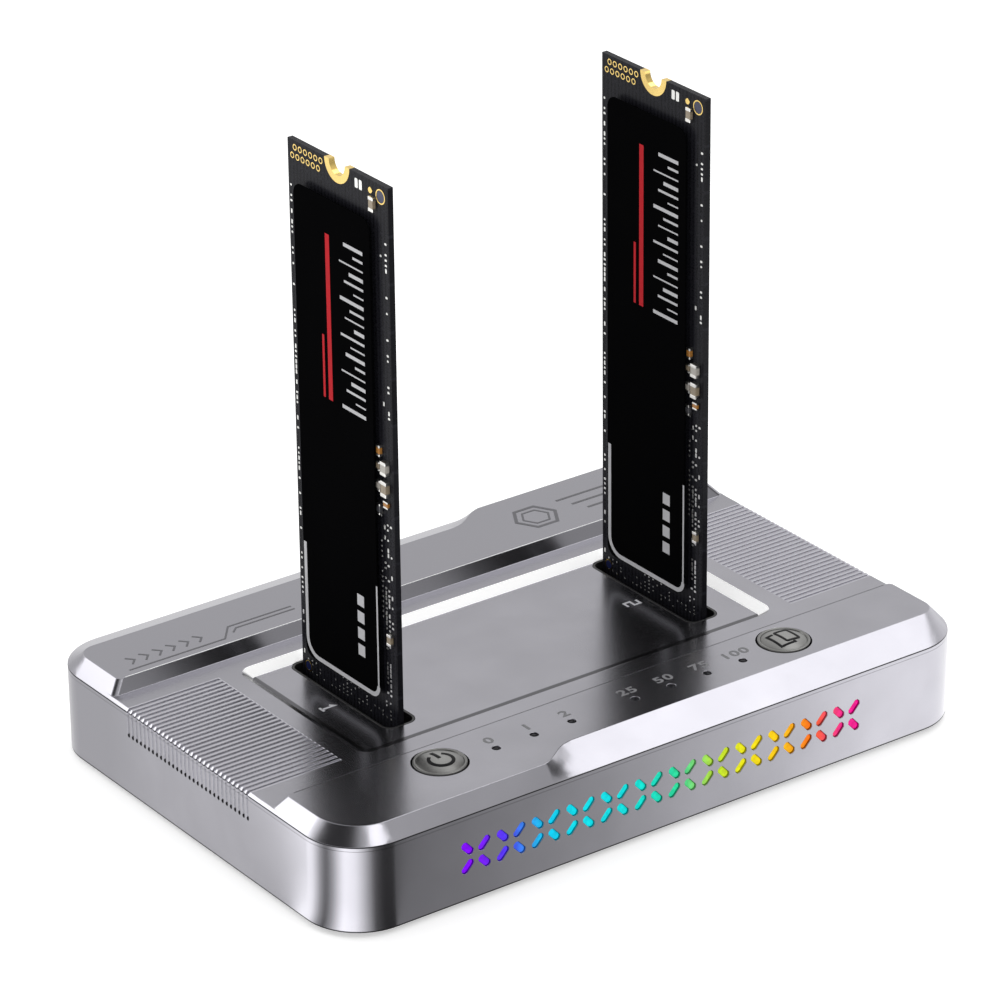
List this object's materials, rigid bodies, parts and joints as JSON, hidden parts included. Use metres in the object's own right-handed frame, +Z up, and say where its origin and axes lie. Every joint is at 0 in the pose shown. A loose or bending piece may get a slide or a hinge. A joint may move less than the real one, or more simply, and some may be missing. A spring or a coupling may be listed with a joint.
{
  "type": "drive duplicator",
  "caption": "Low bevelled metal housing that copies one upright solid-state card to another, with slots, round buttons, lamps and a lit front row.",
  "frame": {"origin": "on the surface the feet rest on, under the middle of the housing", "axes": "+X along the long side, from the source slot to the target slot; +Y from the front edge with the buttons to the ports; +Z up"},
  "size_m": [0.102, 0.0694, 0.0869],
  "materials": {
    "housing_aluminium": "satin, bright bevels",
    "base_aluminium": "matt",
    "screw_steel": "satin",
    "port_steel": "satin",
    "foot_rubber": "matt",
    "black_plastic": "matt",
    "chip_plastic": "matt",
    "green_board": "semi-gloss",
    "black_board": "semi-gloss",
    "ferrite_grey": "matt",
    "capacitor_tan": "semi-gloss",
    "lamp_white": "gloss",
    "clear_pipe": "clear",
    "milky_diffuser": "satin",
    "button_metal": "satin",
    "gold_plating": "bright",
    "label_film": "satin"
  },
  "bodies": {
    "housing": {"upper_housing": "housing_aluminium", "base_plate": "base_aluminium", "slot_guides": "black_plastic", "base_screws": "screw_steel", "rubber_feet": "foot_rubber", "main_board": "green_board", "bridge_chips": "chip_plastic", "control_chips": "chip_plastic", "power_inductors": "ferrite_grey", "capacitors": "capacitor_tan", "board_header": "black_plastic", "status_lamps": "lamp_white", "status_light_pipe": "clear_pipe", "light_bar": "milky_diffuser", "light_board": "green_board", "light_lamps": "lamp_white", "usb_port_shell": "port_steel", "usb_port_tongue": "black_plastic", "power_jack": "black_plastic", "power_jack_pin": "port_steel", "power_switch": "black_plastic", "clone_switch": "black_plastic", "source_socket": "black_plastic", "source_socket_contacts": "gold_plating", "target_socket": "black_plastic", "target_socket_contacts": "gold_plating"},
    "source_drive": {"source_drive_board": "black_board", "source_drive_contacts": "gold_plating", "source_drive_end_ring": "gold_plating", "source_drive_chips": "chip_plastic", "source_drive_label": "label_film", "source_drive_small_parts": "capacitor_tan"},
    "target_drive": {"target_drive_board": "black_board", "target_drive_contacts": "gold_plating", "target_drive_end_ring": "gold_plating", "target_drive_chips": "chip_plastic", "target_drive_label": "label_film", "target_drive_small_parts": "capacitor_tan"},
    "power_key": {"power_button": "button_metal", "power_switch_plunger": "black_plastic"},
    "clone_key": {"clone_button": "button_metal", "clone_switch_plunger": "black_plastic"}
  },
  "joints": [
    {"name": "source_drive_pull", "type": "slide", "parent": "housing", "child": "source_drive", "axis": [0, 0, 1], "range_m": [0, 0.02]},
    {"name": "target_drive_pull", "type": "slide", "parent": "housing", "child": "target_drive", "axis": [0, 0, 1], "range_m": [0, 0.02]},
    {"name": "power_key_press", "type": "slide", "parent": "housing", "child": "power_key", "axis": [0, 0, -1], "range_m": [0, 0.0006], "stiffness_N_per_m": 500},
    {"name": "clone_key_press", "type": "slide", "parent": "housing", "child": "clone_key", "axis": [0, 0, -1], "range_m": [0, 0.0006], "stiffness_N_per_m": 500}
  ]
}
